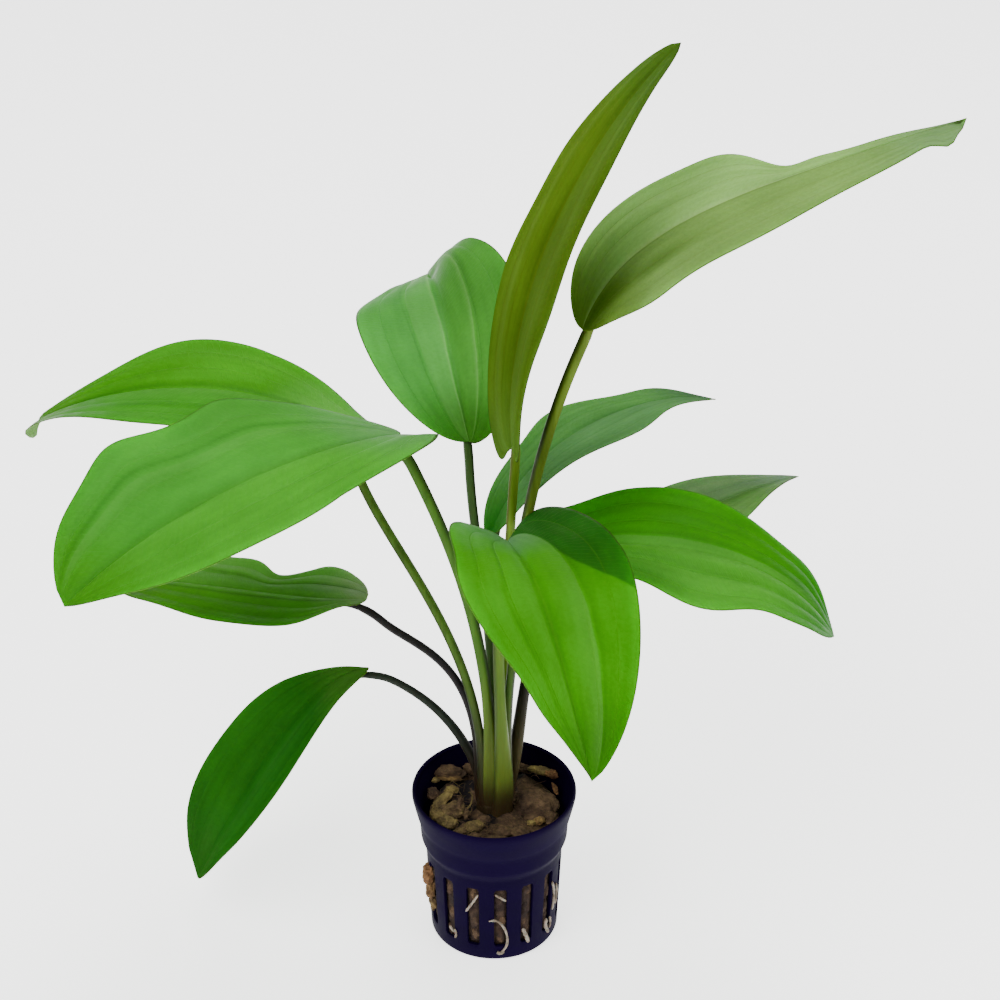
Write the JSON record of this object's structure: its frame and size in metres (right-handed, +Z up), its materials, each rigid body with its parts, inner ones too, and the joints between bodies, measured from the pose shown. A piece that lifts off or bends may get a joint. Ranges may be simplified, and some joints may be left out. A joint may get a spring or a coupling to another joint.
{
  "type": "potted aquarium plant",
  "caption": "Rosette of broad pointed leaves on long slender stalks, growing from rock wool in a small slotted net pot.",
  "frame": {"origin": "middle of the net pot's underside, at the level of the surface it stands on", "axes": "+Z up along the pot's axis, -Y towards the side that the front leaf reaches to, +X towards the high right leaf's tip"},
  "size_m": [0.2923, 0.1972, 0.3209],
  "materials": {
    "pot_plastic": "satin",
    "rock_wool": "matte",
    "crown_tissue": "satin",
    "root_white": "satin",
    "blade_green": "satin",
    "blade_deep_green": "satin",
    "blade_pale": "satin",
    "blade_olive": "satin",
    "stalk_green": "satin",
    "stalk_dark": "satin"
  },
  "bodies": {
    "root": {"net_pot": "pot_plastic", "rock_wool_plug": "rock_wool", "crown": "crown_tissue", "root_diagonal": "root_white", "root_cross": "root_white", "root_hanging": "root_white", "root_stub": "root_white", "root_side": "root_white", "leaf_upright": "blade_olive", "stalk_upright": "stalk_green", "leaf_high_right": "blade_pale", "stalk_high_right": "stalk_green", "leaf_back": "blade_green", "stalk_back": "stalk_dark", "leaf_high_left": "blade_green", "stalk_high_left": "stalk_green", "leaf_front_left": "blade_green", "stalk_front_left": "stalk_green", "leaf_front": "blade_green", "stalk_front": "stalk_green", "leaf_mid_left": "blade_deep_green", "stalk_mid_left": "stalk_dark", "leaf_low_left": "blade_deep_green", "stalk_low_left": "stalk_dark", "leaf_right": "blade_green", "stalk_right": "stalk_dark", "leaf_far_right": "blade_deep_green", "stalk_far_right": "stalk_dark", "leaf_back_right": "blade_green", "stalk_back_right": "stalk_dark"}
  },
  "joints": []
}
